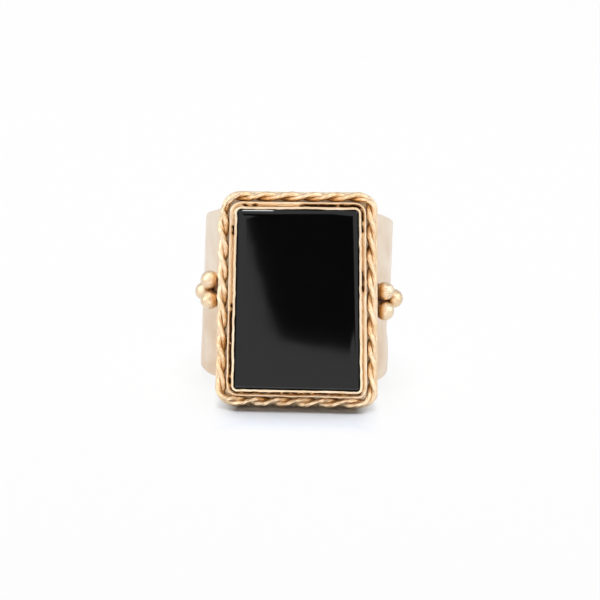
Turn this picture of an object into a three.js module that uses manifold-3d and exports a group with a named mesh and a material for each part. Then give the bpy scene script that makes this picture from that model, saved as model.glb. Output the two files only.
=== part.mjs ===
// A gold signet ring with a wide tapered band, a rectangular black stone and a twisted rope border.
//
// Frame, in millimetres: the origin is the middle of the finger hole, +Z runs along the finger,
// the stone faces -Y and +X is to the right as the stone is looked at.
// The head is stacked outwards along -Y, so a smaller y is further out from the finger.

import * as THREE from "three";
import { mergeVertices } from "three/addons/utils/BufferGeometryUtils.js";
import Module from "manifold-3d";

const wasm = await Module();
wasm.setup();

// ---------------------------------------------------------------- driving dimensions

// The air left where two pieces are soldered, burnished or bedded together.
const JOINT_GAP = 0.04;

// Band
const FINGER_DIAMETER = 17.3;
const BAND_WALL = 1.55;
const BAND_WIDTH_HEAD = 19.8;
const BAND_WIDTH_BACK = 12.8;

// Stone: a flat slab with a softened upper edge
const STONE_WIDTH = 13.04;
const STONE_LENGTH = 19.04;
const STONE_THICKNESS = 1.75;
const STONE_CORNER = 0.4;
const STONE_EDGE = 0.25;

// Setting: each value is a thickness or a width measured outwards from the stone
const BEZEL_WALL = 0.24;
const BEZEL_BELOW_FACE = 0.12;
const CHANNEL_WIDTH = 0.16;
const FRAME_WALL = 0.34;
const FRAME_BELOW_BEZEL = 0.3;
const LEDGE_WIDTH = 0.9;
const LEDGE_HEIGHT = 0.5;
const WALL_EDGE = 0.08;

// Rope: two strands twisted together and bent into a closed rectangle
const STRAND_DIAMETER = 0.5;
const ROPE_TURNS = 15;
const ROPE_START_DEGREES = 18;
const ROPE_CORNER = 1.2;

// Head plate and the gallery that joins it to the band
const PLATE_MARGIN_SIDES = 0.22;
const PLATE_MARGIN_ENDS = 0.06;
const PLATE_THICKNESS = 0.9;
const PLATE_EDGE = 0.1;
const HEAD_RISE = 0.7;
const GALLERY_INSET = 0.35;
const GALLERY_WALL = 0.8;

// The head was soldered on slightly askew: it is turned this much anticlockwise about Y.
const HEAD_TURN_DEGREES = 1.6;

// Beads: a trio on each shoulder, the left one a little above the middle and the right one below
const BEAD_DIAMETER = 2.0;
const BEAD_SINK = 0.3;
const TRIO_STAGGER = 0.19;

// Facets
const BAND_SEGMENTS = 80;
const CORNER_SEGMENTS = 4;
const STRAND_STEPS_PER_TURN = 10;
const STRAND_SIDES = 6;
const BEAD_SEGMENTS = 12;
const BEAD_RINGS = 8;
const WELD_DISTANCE = 1e-4;

// ---------------------------------------------------------------- places worked out from them

const fingerRadius = FINGER_DIAMETER / 2;
const bandRadius = fingerRadius + BAND_WALL;
const headTurn = THREE.MathUtils.degToRad(-HEAD_TURN_DEGREES);

// Widths beyond the stone's own outline, from the inside out
const bezelInner = JOINT_GAP;
const bezelOuter = bezelInner + BEZEL_WALL;
const frameInner = bezelOuter + CHANNEL_WIDTH;
const frameOuter = frameInner + FRAME_WALL;
const ropeRadius = STRAND_DIAMETER + JOINT_GAP / 2;
const ropeCentre = frameOuter + JOINT_GAP + ropeRadius;
const ropeOuter = ropeCentre + ropeRadius;
const plateOuter = ropeOuter + PLATE_MARGIN_SIDES;
const plateEnds = ropeOuter + PLATE_MARGIN_ENDS;
const plateCorner = ROPE_CORNER + plateOuter - ropeCentre;
const galleryOuter = plateOuter - GALLERY_INSET;
const galleryInner = galleryOuter - GALLERY_WALL;

// Levels along Y
const plateBack = -(bandRadius + HEAD_RISE);
const plateFront = plateBack - PLATE_THICKNESS;
const settingBack = plateFront - JOINT_GAP;
const ledgeFront = settingBack - LEDGE_HEIGHT;
const stoneBack = ledgeFront - JOINT_GAP;
const stoneFront = stoneBack - STONE_THICKNESS;
const bezelFront = stoneFront + BEZEL_BELOW_FACE;
const frameFront = bezelFront + FRAME_BELOW_BEZEL;
const ropeLevel = settingBack - ropeRadius;

// ---------------------------------------------------------------- shapes

// A rectangle with round corners, drawn anticlockwise about the origin.
function roundedRectangle(halfWidth, halfLength, radius) {
  const x = halfWidth - radius;
  const y = halfLength - radius;
  const shape = new THREE.Shape();
  shape.absarc(x, y, radius, 0, Math.PI / 2);
  shape.absarc(-x, y, radius, Math.PI / 2, Math.PI);
  shape.absarc(-x, -y, radius, Math.PI, 1.5 * Math.PI);
  shape.absarc(x, -y, radius, 1.5 * Math.PI, 2 * Math.PI);
  shape.closePath();
  return shape;
}

// The stone's outline grown by a width, so that the walls of the head run parallel to the stone.
function headOutline(grow) {
  const corner = Math.max(STONE_CORNER + grow, JOINT_GAP);
  return roundedRectangle(STONE_WIDTH / 2 + grow, STONE_LENGTH / 2 + grow, corner);
}

// The space between two such outlines.
function headBorder(innerGrow, outerGrow) {
  const shape = headOutline(outerGrow);
  shape.holes.push(new THREE.Path(headOutline(innerGrow).getPoints(CORNER_SEGMENTS)));
  return shape;
}

// A shape drawn in X and Z, extruded from the level yBack out to yFront, with its edges chamfered.
function extrudeOutwards(shape, yBack, yFront, chamfer = 0) {
  const geometry = new THREE.ExtrudeGeometry(shape, {
    depth: yBack - yFront - 2 * chamfer,
    curveSegments: CORNER_SEGMENTS,
    bevelEnabled: chamfer > 0,
    bevelThickness: chamfer,
    bevelSize: chamfer,
    bevelOffset: -chamfer,
    bevelSegments: 1,
  });
  geometry.translate(0, 0, chamfer);
  geometry.rotateX(Math.PI / 2);
  geometry.translate(0, yBack, 0);
  return geometry;
}

// A solid round bar along Z, turned so that it always has the band's own facets.
function roundBar(radius, length) {
  const geometry = new THREE.CylinderGeometry(radius, radius, length, BAND_SEGMENTS);
  geometry.rotateX(Math.PI / 2);
  return geometry;
}

function toSolid(geometry) {
  const bare = geometry.clone();
  bare.deleteAttribute("normal");
  bare.deleteAttribute("uv");
  const merged = mergeVertices(bare, WELD_DISTANCE);
  const mesh = new wasm.Mesh({
    numProp: 3,
    vertProperties: merged.attributes.position.array,
    triVerts: new Uint32Array(merged.index.array),
  });
  return new wasm.Manifold(mesh);
}

function toGeometry(solid) {
  const mesh = solid.getMesh();
  const geometry = new THREE.BufferGeometry();
  geometry.setAttribute("position", new THREE.BufferAttribute(mesh.vertProperties, 3));
  geometry.setIndex(new THREE.BufferAttribute(mesh.triVerts, 1));
  geometry.computeVertexNormals();
  return geometry;
}

// ---------------------------------------------------------------- pieces

// The band: a tube, trimmed by a side outline that tapers from the head to the back of the finger.
function makeBand() {
  const stock = BAND_WIDTH_HEAD + BAND_WALL;
  const tube = toSolid(roundBar(bandRadius, stock)).subtract(toSolid(roundBar(fingerRadius, 2 * stock)));

  const taper = (BAND_WIDTH_HEAD - BAND_WIDTH_BACK) / (4 * bandRadius);
  const halfWidthAt = (y) => BAND_WIDTH_HEAD / 2 - taper * (y + bandRadius);
  const reach = bandRadius + BAND_WALL;
  const side = new THREE.Shape();
  side.moveTo(-reach, -halfWidthAt(-reach));
  side.lineTo(reach, -halfWidthAt(reach));
  side.lineTo(reach, halfWidthAt(reach));
  side.lineTo(-reach, halfWidthAt(-reach));
  side.closePath();
  const sideBlock = new THREE.ExtrudeGeometry(side, { depth: 2 * reach, bevelEnabled: false });
  sideBlock.translate(0, 0, -reach);
  const yAxis = new THREE.Vector3(0, 1, 0);
  const zAxis = new THREE.Vector3(0, 0, 1);
  const xAxis = new THREE.Vector3(1, 0, 0);
  sideBlock.applyMatrix4(new THREE.Matrix4().makeBasis(yAxis, zAxis, xAxis));
  return toGeometry(tube.intersect(toSolid(sideBlock)));
}

// The gallery: a rectangular frame under the head plate, cut away below to sit on the curved band.
// The cut is turned back, because the gallery turns with the head and the band doesn't.
function makeGallery() {
  const frame = toSolid(extrudeOutwards(headBorder(galleryInner, galleryOuter), 0, plateBack + JOINT_GAP));
  const saddle = roundBar(bandRadius + JOINT_GAP, 2 * (STONE_LENGTH + galleryOuter));
  saddle.rotateY(-headTurn);
  return toGeometry(frame.subtract(toSolid(saddle)));
}

// The plate: its corners share their centres with the rope's, and its ends are nearly flush with the rope.
function makeHeadPlate() {
  const outline = roundedRectangle(STONE_WIDTH / 2 + plateOuter, STONE_LENGTH / 2 + plateEnds, plateCorner);
  return extrudeOutwards(outline, plateBack, plateFront, PLATE_EDGE);
}

function makeFrameWall() {
  return extrudeOutwards(headBorder(frameInner, frameOuter), settingBack, frameFront, WALL_EDGE);
}

// The bezel: a thin wall whose lip leans in over the stone's softened edge.
function makeBezel() {
  const block = toSolid(extrudeOutwards(headOutline(bezelOuter), settingBack, bezelFront, WALL_EDGE));
  const pocketEdge = STONE_EDGE;
  const pocketFront = stoneFront - JOINT_GAP;
  const pocketBack = settingBack + 2 * pocketEdge;
  const pocket = toSolid(extrudeOutwards(headOutline(bezelInner), pocketBack, pocketFront, pocketEdge));
  return toGeometry(block.subtract(pocket));
}

// The ledge: a flat step inside the bezel that carries the stone's underside.
function makeSeatLedge() {
  return extrudeOutwards(headBorder(-LEDGE_WIDTH, 0), settingBack, ledgeFront);
}

// The stone: square below, with the softened edge only round its face.
function makeStone() {
  const slab = toSolid(extrudeOutwards(headOutline(0), stoneBack + 2 * STONE_EDGE, stoneFront, STONE_EDGE));
  const below = extrudeOutwards(headOutline(STONE_EDGE), stoneBack + 3 * STONE_EDGE, stoneBack);
  return toGeometry(slab.subtract(toSolid(below)));
}

// One strand of the rope: a left-handed helix about the rope's own closed centre line.
class StrandCurve extends THREE.Curve {
  constructor(phase) {
    super();
    this.phase = phase;
    this.centreLine = roundedRectangle(
      STONE_WIDTH / 2 + ropeCentre,
      STONE_LENGTH / 2 + ropeCentre,
      ROPE_CORNER,
    );
    this.arcLengthDivisions = ROPE_TURNS * STRAND_STEPS_PER_TURN * 4;
  }

  getPoint(t, target = new THREE.Vector3()) {
    const along = t - Math.floor(t);
    const centre = this.centreLine.getPoint(along);
    const tangent = this.centreLine.getTangent(along);
    const start = THREE.MathUtils.degToRad(ROPE_START_DEGREES) + this.phase;
    const angle = start + 2 * Math.PI * ROPE_TURNS * along;
    const offset = (STRAND_DIAMETER + JOINT_GAP) / 2;
    const sideways = offset * Math.cos(angle);
    const outwards = offset * Math.sin(angle);
    return target.set(
      centre.x + sideways * tangent.y,
      ropeLevel - outwards,
      centre.y - sideways * tangent.x,
    );
  }
}

function makeStrand(phase) {
  const steps = ROPE_TURNS * STRAND_STEPS_PER_TURN;
  return new THREE.TubeGeometry(new StrandCurve(phase), steps, STRAND_DIAMETER / 2, STRAND_SIDES, true);
}

// One bead: a small ball sunk a little way into the band, so that its foot is cut to the band's curve.
function makeBead(centre) {
  const ball = new THREE.SphereGeometry(BEAD_DIAMETER / 2, BEAD_SEGMENTS, BEAD_RINGS);
  ball.translate(centre.x, centre.y, centre.z);
  const foot = roundBar(bandRadius + JOINT_GAP, BAND_WIDTH_HEAD);
  return toGeometry(toSolid(ball).subtract(toSolid(foot)));
}

// The three bead centres of one shoulder: two against the gallery wall and one outside them.
function beadCentres(side) {
  const orbit = bandRadius + BEAD_DIAMETER / 2 - BEAD_SINK;
  const spacing = BEAD_DIAMETER + JOINT_GAP;
  const wallX = STONE_WIDTH / 2 + galleryOuter;
  const innerAngle = Math.asin((wallX + JOINT_GAP + BEAD_DIAMETER / 2) / orbit);
  const rowChord = spacing * Math.sin(Math.PI / 3);
  const outerAngle = innerAngle + 2 * Math.asin(rowChord / (2 * orbit));
  const middle = -side * TRIO_STAGGER;
  const place = (angle, z) => {
    return new THREE.Vector3(side * orbit * Math.sin(angle), -orbit * Math.cos(angle), middle + z);
  };
  return {
    upper: place(innerAngle, spacing / 2),
    lower: place(innerAngle, -spacing / 2),
    outer: place(outerAngle, 0),
  };
}

// ---------------------------------------------------------------- assembly

const polishedGold = { color: 0xe2c39c, roughness: 0.28, metalness: 1 };
const hammeredGold = { color: 0xe8d3b6, roughness: 0.34, metalness: 1 };
const antiqueGold = { color: 0xc79f72, roughness: 0.4, metalness: 1 };
const blackStone = { color: 0x101010, roughness: 0.08, metalness: 0 };

const group = new THREE.Group();
const head = new THREE.Group();
head.rotation.y = headTurn;
group.add(head);

function addPiece(parent, name, geometry, finish) {
  const mesh = new THREE.Mesh(geometry, new THREE.MeshStandardMaterial(finish));
  mesh.name = name;
  parent.add(mesh);
}

addPiece(group, "band", makeBand(), hammeredGold);
addPiece(head, "head_gallery", makeGallery(), polishedGold);
addPiece(head, "head_plate", makeHeadPlate(), polishedGold);
addPiece(head, "frame_wall", makeFrameWall(), polishedGold);
addPiece(head, "bezel", makeBezel(), polishedGold);
addPiece(head, "seat_ledge", makeSeatLedge(), polishedGold);
addPiece(head, "stone", makeStone(), blackStone);
addPiece(head, "rope_strand_one", makeStrand(0), antiqueGold);
addPiece(head, "rope_strand_two", makeStrand(Math.PI), antiqueGold);
for (const [sideName, side] of [["left", -1], ["right", 1]]) {
  for (const [placeName, centre] of Object.entries(beadCentres(side))) {
    addPiece(group, `bead_${sideName}_${placeName}`, makeBead(centre), polishedGold);
  }
}

export default group;
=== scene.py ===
# %% [markdown]
# # A gold signet ring
#
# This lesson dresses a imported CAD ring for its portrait. The CAD model says where each piece sits
# and how big it is. Here each piece is made again as a goldsmith would leave it: a band with
# hammer marks, a lip that was pushed over by hand, strands that touch, and gold that is brown
# where polish never reaches. The frame comes first, because every piece is measured from it.

# %% Load the frame
import math

import bmesh
import bpy
from mathutils import Matrix, Vector, noise
from mathutils.bvhtree import BVHTree


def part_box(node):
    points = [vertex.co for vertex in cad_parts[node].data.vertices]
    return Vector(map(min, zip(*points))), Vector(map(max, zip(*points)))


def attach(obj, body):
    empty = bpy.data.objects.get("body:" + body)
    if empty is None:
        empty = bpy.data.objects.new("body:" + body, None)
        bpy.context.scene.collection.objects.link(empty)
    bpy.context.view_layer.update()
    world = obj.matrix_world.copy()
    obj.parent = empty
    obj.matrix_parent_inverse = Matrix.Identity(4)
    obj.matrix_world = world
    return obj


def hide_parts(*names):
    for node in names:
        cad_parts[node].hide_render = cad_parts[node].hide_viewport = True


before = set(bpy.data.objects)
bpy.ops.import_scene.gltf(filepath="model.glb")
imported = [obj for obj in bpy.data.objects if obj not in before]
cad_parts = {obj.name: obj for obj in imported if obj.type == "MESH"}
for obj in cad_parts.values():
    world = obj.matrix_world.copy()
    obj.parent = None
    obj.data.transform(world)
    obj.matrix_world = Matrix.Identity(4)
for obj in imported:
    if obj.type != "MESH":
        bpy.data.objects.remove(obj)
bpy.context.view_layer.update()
noise.seed_set(3)        # vector noise starts from the clock unless it is given a seed

# %% [markdown]
# ## Units and the head's own frame
#
# Blender works in metres and a ring is made in hundredths of a millimetre, so `MM` turns one into
# the other. +Z runs along the finger and the stone faces -Y.
#
# The head is soldered on 1.6 degrees askew. Its pieces are easier to make straight, so they are
# made in the head's own frame and turned as the last step. `straight_box` does the reverse: it
# takes the turn out of a CAD node, so that its true width and length can be read off. `HAIR` is a
# length too small to see, for asking whether two points are at the same level.

# %% Units, the head's turn and what the frame measures
MM = 0.001
HAIR = 1e-3 * MM
FINGER_DIAMETER = 17.3 * MM
HEAD_TURN = math.radians(-1.6)
turn_head = Matrix.Rotation(HEAD_TURN, 4, "Y")


def share(value):
    """A number held between 0 and 1."""
    return min(1.0, max(0.0, value))


def straight_box(name):
    """The lowest and highest corners of a CAD node once the head's turn is taken out."""
    turn_back = turn_head.inverted()
    corners = [turn_back @ vertex.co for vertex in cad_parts[name].data.vertices]
    low = Vector([min(corner[axis] for corner in corners) for axis in range(3)])
    high = Vector([max(corner[axis] for corner in corners) for axis in range(3)])
    return low, high


band_low, band_high = (Vector(corner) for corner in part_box("band"))
stone_low, stone_high = straight_box("stone")
bezel_low, bezel_high = straight_box("bezel")
wall_low, wall_high = straight_box("frame_wall")
plate_low, plate_high = straight_box("head_plate")
gallery_low, gallery_high = straight_box("head_gallery")
rope_low, rope_high = straight_box("rope_strand_one")
stone_half = Vector((stone_high.x, 0, stone_high.z))
finger_radius = FINGER_DIAMETER / 2
band_radius = band_high.x
print("stone, mm:", [round(size / MM, 3) for size in stone_high - stone_low])

# %% [markdown]
# ## The camera
#
# A long lens far away keeps the ring's sides nearly parallel, as in a catalogue picture. The
# camera looks slightly down on the stone and a little from its left, and the ring stands rolled
# by two degrees, because a hand-made ring never stands quite straight.

# %% Camera
CAMERA_DISTANCE = 0.4
CAMERA_LENS = 220.0
CAMERA_RISE = math.radians(3.4)
CAMERA_SWING = math.radians(-0.65)
CAMERA_ROLL = math.radians(2.2)
CAMERA_AIM = Vector((0.375, 0.0, -0.82)) * MM

out_to_camera = Vector((
    math.sin(CAMERA_SWING) * math.cos(CAMERA_RISE),
    -math.cos(CAMERA_SWING) * math.cos(CAMERA_RISE),
    math.sin(CAMERA_RISE),
))
camera_data = bpy.data.cameras.new("portrait_camera")
camera_data.lens = CAMERA_LENS
camera_data.clip_start = 0.01
camera_data.clip_end = 20.0
camera = bpy.data.objects.new("portrait_camera", camera_data)
level = out_to_camera.to_track_quat("Z", "Y").to_matrix().to_4x4()
place = Matrix.Translation(CAMERA_AIM + CAMERA_DISTANCE * out_to_camera)
camera.matrix_world = place @ level @ Matrix.Rotation(CAMERA_ROLL, 4, "Z")
bpy.context.scene.collection.objects.link(camera)
bpy.context.scene.camera = camera
print("camera, mm:", [round(value / MM) for value in camera.matrix_world.translation])

# %% [markdown]
# ## Shader maths as Python
#
# A material is a graph of nodes, and sums written as graphs are hard to read. `Value` wraps one
# socket, so that `1 - mask * 0.4` adds the Math nodes by itself. `Finish.node` makes every other
# kind of node: the type, its settings, and then what goes into its sockets.

# %% Value and Finish


class Value:
    """A socket that carries a number, usable in a Python expression."""

    def __init__(self, finish, socket):
        self.finish = finish
        self.socket = socket

    def maths(self, operation, first, second=0.0):
        """Adds a Math node and returns what it gives."""
        settings = {"operation": operation}
        return self.finish.node("ShaderNodeMath", settings, {0: first, 1: second})

    def __add__(self, other):
        return self.maths("ADD", self, other)

    def __radd__(self, other):
        return self.maths("ADD", other, self)

    def __sub__(self, other):
        return self.maths("SUBTRACT", self, other)

    def __rsub__(self, other):
        return self.maths("SUBTRACT", other, self)

    def __mul__(self, other):
        return self.maths("MULTIPLY", self, other)

    def __rmul__(self, other):
        return self.maths("MULTIPLY", other, self)

    def absolute(self):
        return self.maths("ABSOLUTE", self)

    def larger(self, other):
        return self.maths("MAXIMUM", self, other)

    def clamped(self):
        """The same number held between 0 and 1."""
        settings = {"operation": "ADD", "use_clamp": True}
        return self.finish.node("ShaderNodeMath", settings, {0: self, 1: 0.0})


class Finish:
    """A material under construction, with one Principled shader at its end."""

    def __init__(self, name, **shader_values):
        self.material = bpy.data.materials.new(name)
        self.material.use_nodes = True
        self.tree = self.material.node_tree
        self.shader = self.tree.nodes["Principled BSDF"]
        for socket_name, value in shader_values.items():
            self.shader.inputs[socket_name.replace("_", " ")].default_value = value

    def put(self, socket, value):
        """Gives a socket a link or a plain value."""
        if isinstance(value, Value):
            self.tree.links.new(value.socket, socket)
        else:
            socket.default_value = value

    def node(self, kind, settings=None, inputs=None, output=0):
        """Adds a node, sets it up, fills its sockets and returns one of its outputs."""
        node = self.tree.nodes.new(kind)
        for name, value in (settings or {}).items():
            setattr(node, name, value)
        for key, value in (inputs or {}).items():
            self.put(node.inputs[key], value)
        return Value(self, node.outputs[output])

    def place(self):
        """Object coordinates in millimetres."""
        spot = self.node("ShaderNodeTexCoord", output="Object")
        return self.node("ShaderNodeMapping", None, {"Vector": spot, "Scale": (1.0 / MM,) * 3})

    def cloud(self, where, scale, detail, roughness=0.5):
        """Soft noise between 0 and 1."""
        inputs = {"Vector": where, "Scale": scale, "Detail": detail, "Roughness": roughness}
        return self.node("ShaderNodeTexNoise", None, inputs, "Fac")

    def blend(self, amount, first, second):
        """A colour between two colours."""
        settings = {"data_type": "RGBA"}
        return self.node("ShaderNodeMix", settings, {0: amount, 6: first, 7: second}, 2)

    def attribute(self, name):
        """A number that a piece carries on its vertices."""
        return self.node("ShaderNodeAttribute", {"attribute_name": name}, output="Fac")

    def bump(self, height, distance):
        """A normal that is tilted as if the surface rose by `distance` where the height is 1."""
        inputs = {"Height": height, "Distance": distance, "Strength": 1.0}
        return self.node("ShaderNodeBump", None, inputs, "Normal")

    def shine(self):
        """The Principled shader's output."""
        return Value(self, self.shader.outputs["BSDF"])

    def set(self, **links):
        """Wires values to the shader's own sockets."""
        for socket_name, value in links.items():
            self.put(self.shader.inputs[socket_name.replace("_", " ")], value)


print("shader helpers ready")

# %% [markdown]
# ## The gold
#
# The ring is gold plate over brass. Polished gold is a pale warm metal whose colour lies almost
# wholly in its reflections. Where a buff can't reach, the plate keeps its bloom, which is amber
# where it is thin and brown where it is thick. Each gold piece therefore carries a `recess` number
# on its vertices, measured later, which is 0 on open metal and rises to 1 in the corners. The
# finish reads it, breaks it up with noise so the darkening has a ragged edge, and darkens and
# roughens the gold there. That darkening is partly the bloom and partly painted shade: the shade
# that falls in corners and between parts, painted into the gold's colour.
#
# The band, the polished walls and the rope were finished differently, but all three golds come
# from one function, so that the pieces look cut from the same metal.

# %% Gold
AMBER = (0.66, 0.36, 0.13, 1.0)
PORE_BROWN = (0.30, 0.23, 0.17, 1.0)
PATCH_SHARE = 0.22
SPECKLE_ROUGHNESS = 0.14
STAIN_ROUGHNESS = 0.25
BUFFED_ROUGHNESS = 0.17
PORE_CELLS = 0.45
PORE_SHARPNESS = 30.0


def gold_finish(
    name, pale, warm, bloom_and_shade, roughness, clean, full, grain, ragged=0.30, lower_side_shade=0.0, pits=0.0
):
    """Gold whose colour drifts from pale to warm, darkened in its recesses by stain and painted shade.

    The darkening starts where the recess number passes `clean` and is complete at `full`. It is
    amber at first and reaches the colour `bloom_and_shade` in the second half, and `ragged` says how
    much noise breaks its edge up. It stands partly for the stain the buff left and partly for painted
    shade. `grain` is the depth of the surface's fine texture. `lower_side_shade` makes the drift lean
    to the warm, darker colour towards the ring's lower side, a painted shade. `pits` is the size of a
    few small pores, in cells of 2.2 mm. Pieces that a wheel reaches easily carry a `buffed` number,
    which makes them smoother.
    """
    finish = Finish(name, Metallic=1.0)
    where = finish.place()
    height = finish.node("ShaderNodeSeparateXYZ", None, {"Vector": where}, "Z")
    drift = finish.cloud(where, 0.35, 2.0)
    patch = finish.cloud(where, 0.55, 1.0)
    speckle = finish.cloud(where, 3.4, 6.0, 0.68)
    fine = finish.cloud(where, 14.0, 3.0)
    recess = finish.attribute("recess")
    buffed = finish.attribute("buffed")
    broken = recess + ragged * (speckle - 0.5) + PATCH_SHARE * (patch - 0.5)
    # stain_and_shade: how far the recess darkening has gone, partly the bloom and partly painted shade
    stain_and_shade = ((broken - clean) * (1.0 / (full - clean))).clamped()
    # lower_side_shade paints shade into the colour: the band turns darker and warmer towards its lower
    # side
    warmth = 2.2 * drift - 0.6 - lower_side_shade * height
    metal = finish.blend(warmth.clamped(), pale, warm)
    if pits:
        cells = {"Vector": where, "Scale": PORE_CELLS}
        pore = finish.node("ShaderNodeTexVoronoi", None, cells, "Distance")
        size = pits * (4.0 * patch - 1.9)
        metal = finish.blend(((size - pore) * PORE_SHARPNESS).clamped(), metal, PORE_BROWN)
    amber = finish.blend((2.0 * stain_and_shade).clamped(), metal, AMBER)
    satin = roughness + SPECKLE_ROUGHNESS * (speckle - 0.5) + STAIN_ROUGHNESS * stain_and_shade
    finish.set(
        Base_Color=finish.blend((2.0 * stain_and_shade - 1.0).clamped(), amber, bloom_and_shade),
        Roughness=(satin - BUFFED_ROUGHNESS * buffed).clamped(),
        Normal=finish.bump(speckle * 0.8 + fine * 0.2, grain),
    )
    return finish.material


# %% The three golds
# Colours of the deepest recess darkening, which stands partly for bloom and partly for painted shade
BROWN_BLOOM_AND_SHADE = (0.12, 0.052, 0.018, 1.0)
AMBER_BLOOM_AND_SHADE = (0.38, 0.17, 0.052, 1.0)

hammered_gold = gold_finish(
    "hammered_gold", pale=(0.85, 0.735, 0.605, 1.0), warm=(0.73, 0.555, 0.40, 1.0),
    bloom_and_shade=BROWN_BLOOM_AND_SHADE, roughness=0.30, clean=0.30, full=0.80, grain=0.035 * MM,
    lower_side_shade=0.050, pits=0.10,
)
polished_gold = gold_finish(
    "polished_gold", pale=(0.90, 0.75, 0.57, 1.0), warm=(0.80, 0.59, 0.37, 1.0),
    bloom_and_shade=BROWN_BLOOM_AND_SHADE, roughness=0.34, clean=0.36, full=0.80, grain=0.100 * MM,
)
rope_gold = gold_finish(
    "rope_gold", pale=(0.93, 0.76, 0.55, 1.0), warm=(0.84, 0.60, 0.36, 1.0),
    bloom_and_shade=AMBER_BLOOM_AND_SHADE, roughness=0.31, clean=0.24, full=0.84, grain=0.120 * MM, ragged=0.70,
)
print("gold finishes:", hammered_gold.name, polished_gold.name, rope_gold.name)

# %% [markdown]
# ## The black stone
#
# The stone is opaque and black with a wet-looking polish, so nearly all that shows on it is
# reflection. A faint haze in the polish and a few thousandths of a millimetre of waviness keep
# those reflections from looking like computer glass.
#
# Two numbers on the stone's vertices change the finish from place to place. `shadowed_rim` marks
# the outermost rim, where a second, matt and nearly black shader takes over: a painted shadow, the
# dark line where the bezel's lip shades the stone's edge. `glint` marks one small facet at the top
# edge that flashes, and gives it a clear coat.

# %% Black stone
stone_finish = Finish("black_stone", Metallic=0.0, IOR=1.45, Coat_IOR=2.4, Coat_Roughness=0.05)
stone_place = stone_finish.place()
haze = stone_finish.cloud(stone_place, 0.22, 2.0)
wave = stone_finish.cloud(stone_place, 0.30, 1.0)
dust = stone_finish.cloud(stone_place, 22.0, 2.0)
stone_finish.set(
    Base_Color=stone_finish.blend(haze, (0.0026, 0.0026, 0.0027, 1), (0.0036, 0.0035, 0.0036, 1)),
    Roughness=0.018 + 0.02 * haze + 0.02 * dust,
    Normal=stone_finish.bump(wave, 0.002 * MM),
    Coat_Weight=stone_finish.attribute("glint"),
)
# The nearly black matt shader on the rim is a painted shadow, where the bezel's lip shades the edge
matt = {"Base Color": (0.003, 0.003, 0.003, 1.0), "Roughness": 0.9, "Specular IOR Level": 0.05}
shadow_edge = stone_finish.node("ShaderNodeBsdfPrincipled", None, matt, "BSDF")
either = {0: stone_finish.attribute("shadowed_rim"), 1: stone_finish.shine(), 2: shadow_edge}
surface = stone_finish.node("ShaderNodeMixShader", None, either, "Shader")
stone_finish.put(stone_finish.tree.nodes["Material Output"].inputs["Surface"], surface)
black_stone = stone_finish.material
print("stone finish:", black_stone.name)

# %% [markdown]
# ## The head as the hand left it
#
# The CAD head is a true rectangle and the real one is not: it stands a hair to the left, leans,
# narrows a little towards the top, and its foot slants. The rope was tapped inwards along the top
# and a knock has pushed in the top left corner. `ease_head` moves any point so, and the pieces
# of the head go through it together, so that they stay as close to one another as they were.

# %% ease_head
HEAD_SHIFT = -0.065 * MM
LEAN = -0.030 * MM
TAPER = -0.149 * MM
FOOT_SLANT = -0.040 * MM
ROPE_TUCK = 0.15 * MM
TUCK_START = 1.08
TUCK_FADE = 0.09
DENT = 0.66 * MM
DENT_START = 17.3 * MM
DENT_END = 18.9 * MM


def ease_head(spot):
    """Where hand work has moved a point of the straight head to."""
    side = spot.x / stone_half.x
    rise = spot.z / stone_half.z
    fade = max(0.0, 1 - 1.8 * max(0.0, abs(side) - 1))
    tuck = share((rise - TUCK_START) / TUCK_FADE)
    corner = share((spot.z - spot.x - DENT_START) / (DENT_END - DENT_START))
    dent = DENT * corner / math.sqrt(2)
    return Vector((
        spot.x + HEAD_SHIFT + LEAN * rise + TAPER * side * fade * rise + dent,
        spot.y,
        spot.z + FOOT_SLANT * side * (1 - rise) - ROPE_TUCK * tuck - dent,
    ))


moved = ease_head(Vector((-stone_half.x, 0, stone_half.z)))
print("stone's top left corner moves to, mm:", [round(value / MM, 3) for value in moved])

# %% [markdown]
# ## Finishing a piece
#
# The function prints what it made.

# %% finish_piece
pieces = []


def make_object(name, shape, finish):
    """Turns a bmesh into an object of the scene, with one material."""
    mesh = bpy.data.meshes.new(name)
    shape.to_mesh(mesh)
    shape.free()
    mesh.materials.append(finish)
    made = bpy.data.objects.new(name, mesh)
    bpy.context.scene.collection.objects.link(made)
    return made


def finish_piece(name, shape, node, finish, turned=True):
    """Turns a bmesh into a named piece that rides on the ring and replaces a CAD node."""
    if turned:
        for vertex in shape.verts:
            vertex.co = ease_head(vertex.co)
        bmesh.ops.transform(shape, matrix=turn_head, verts=shape.verts)
    bmesh.ops.remove_doubles(shape, verts=shape.verts, dist=HAIR)
    bmesh.ops.recalc_face_normals(shape, faces=shape.faces)
    for face in shape.faces:
        face.smooth = True
    piece = make_object(name, shape, finish)
    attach(piece, "root")
    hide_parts(node)
    pieces.append(piece)
    size = [round(side / MM, 2) for side in piece.dimensions]
    print(f"{name}: {len(piece.data.polygons)} faces, {size} mm")
    return piece


# %% [markdown]
# ## The band
#
# On the real ring this is one strip, bent round and soldered, then tapped all over with a
# planishing hammer. It could be a cylinder with a bumpy material, but the marks would vanish on
# the outline. So the section is drawn once as a loop, spun about the finger into a tube, and its
# vertices are moved: first to taper the strip from the head to the back of the finger, and then
# to sink the hammer marks. Noise made of cells gives the marks, because each blow leaves one
# shallow dish and neighbouring dishes meet in a soft ridge. One harder blow has left a hollow
# low on the right shoulder.

# %% The band's section, spun into a tube
BAND_STEPS = 320
BAND_ROWS = 76
BAND_INNER_ROWS = 24
BAND_OUTER_ROUND = 0.13 * MM
BAND_INNER_ROUND = 0.40 * MM
ROUND_STEPS = 5

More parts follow.
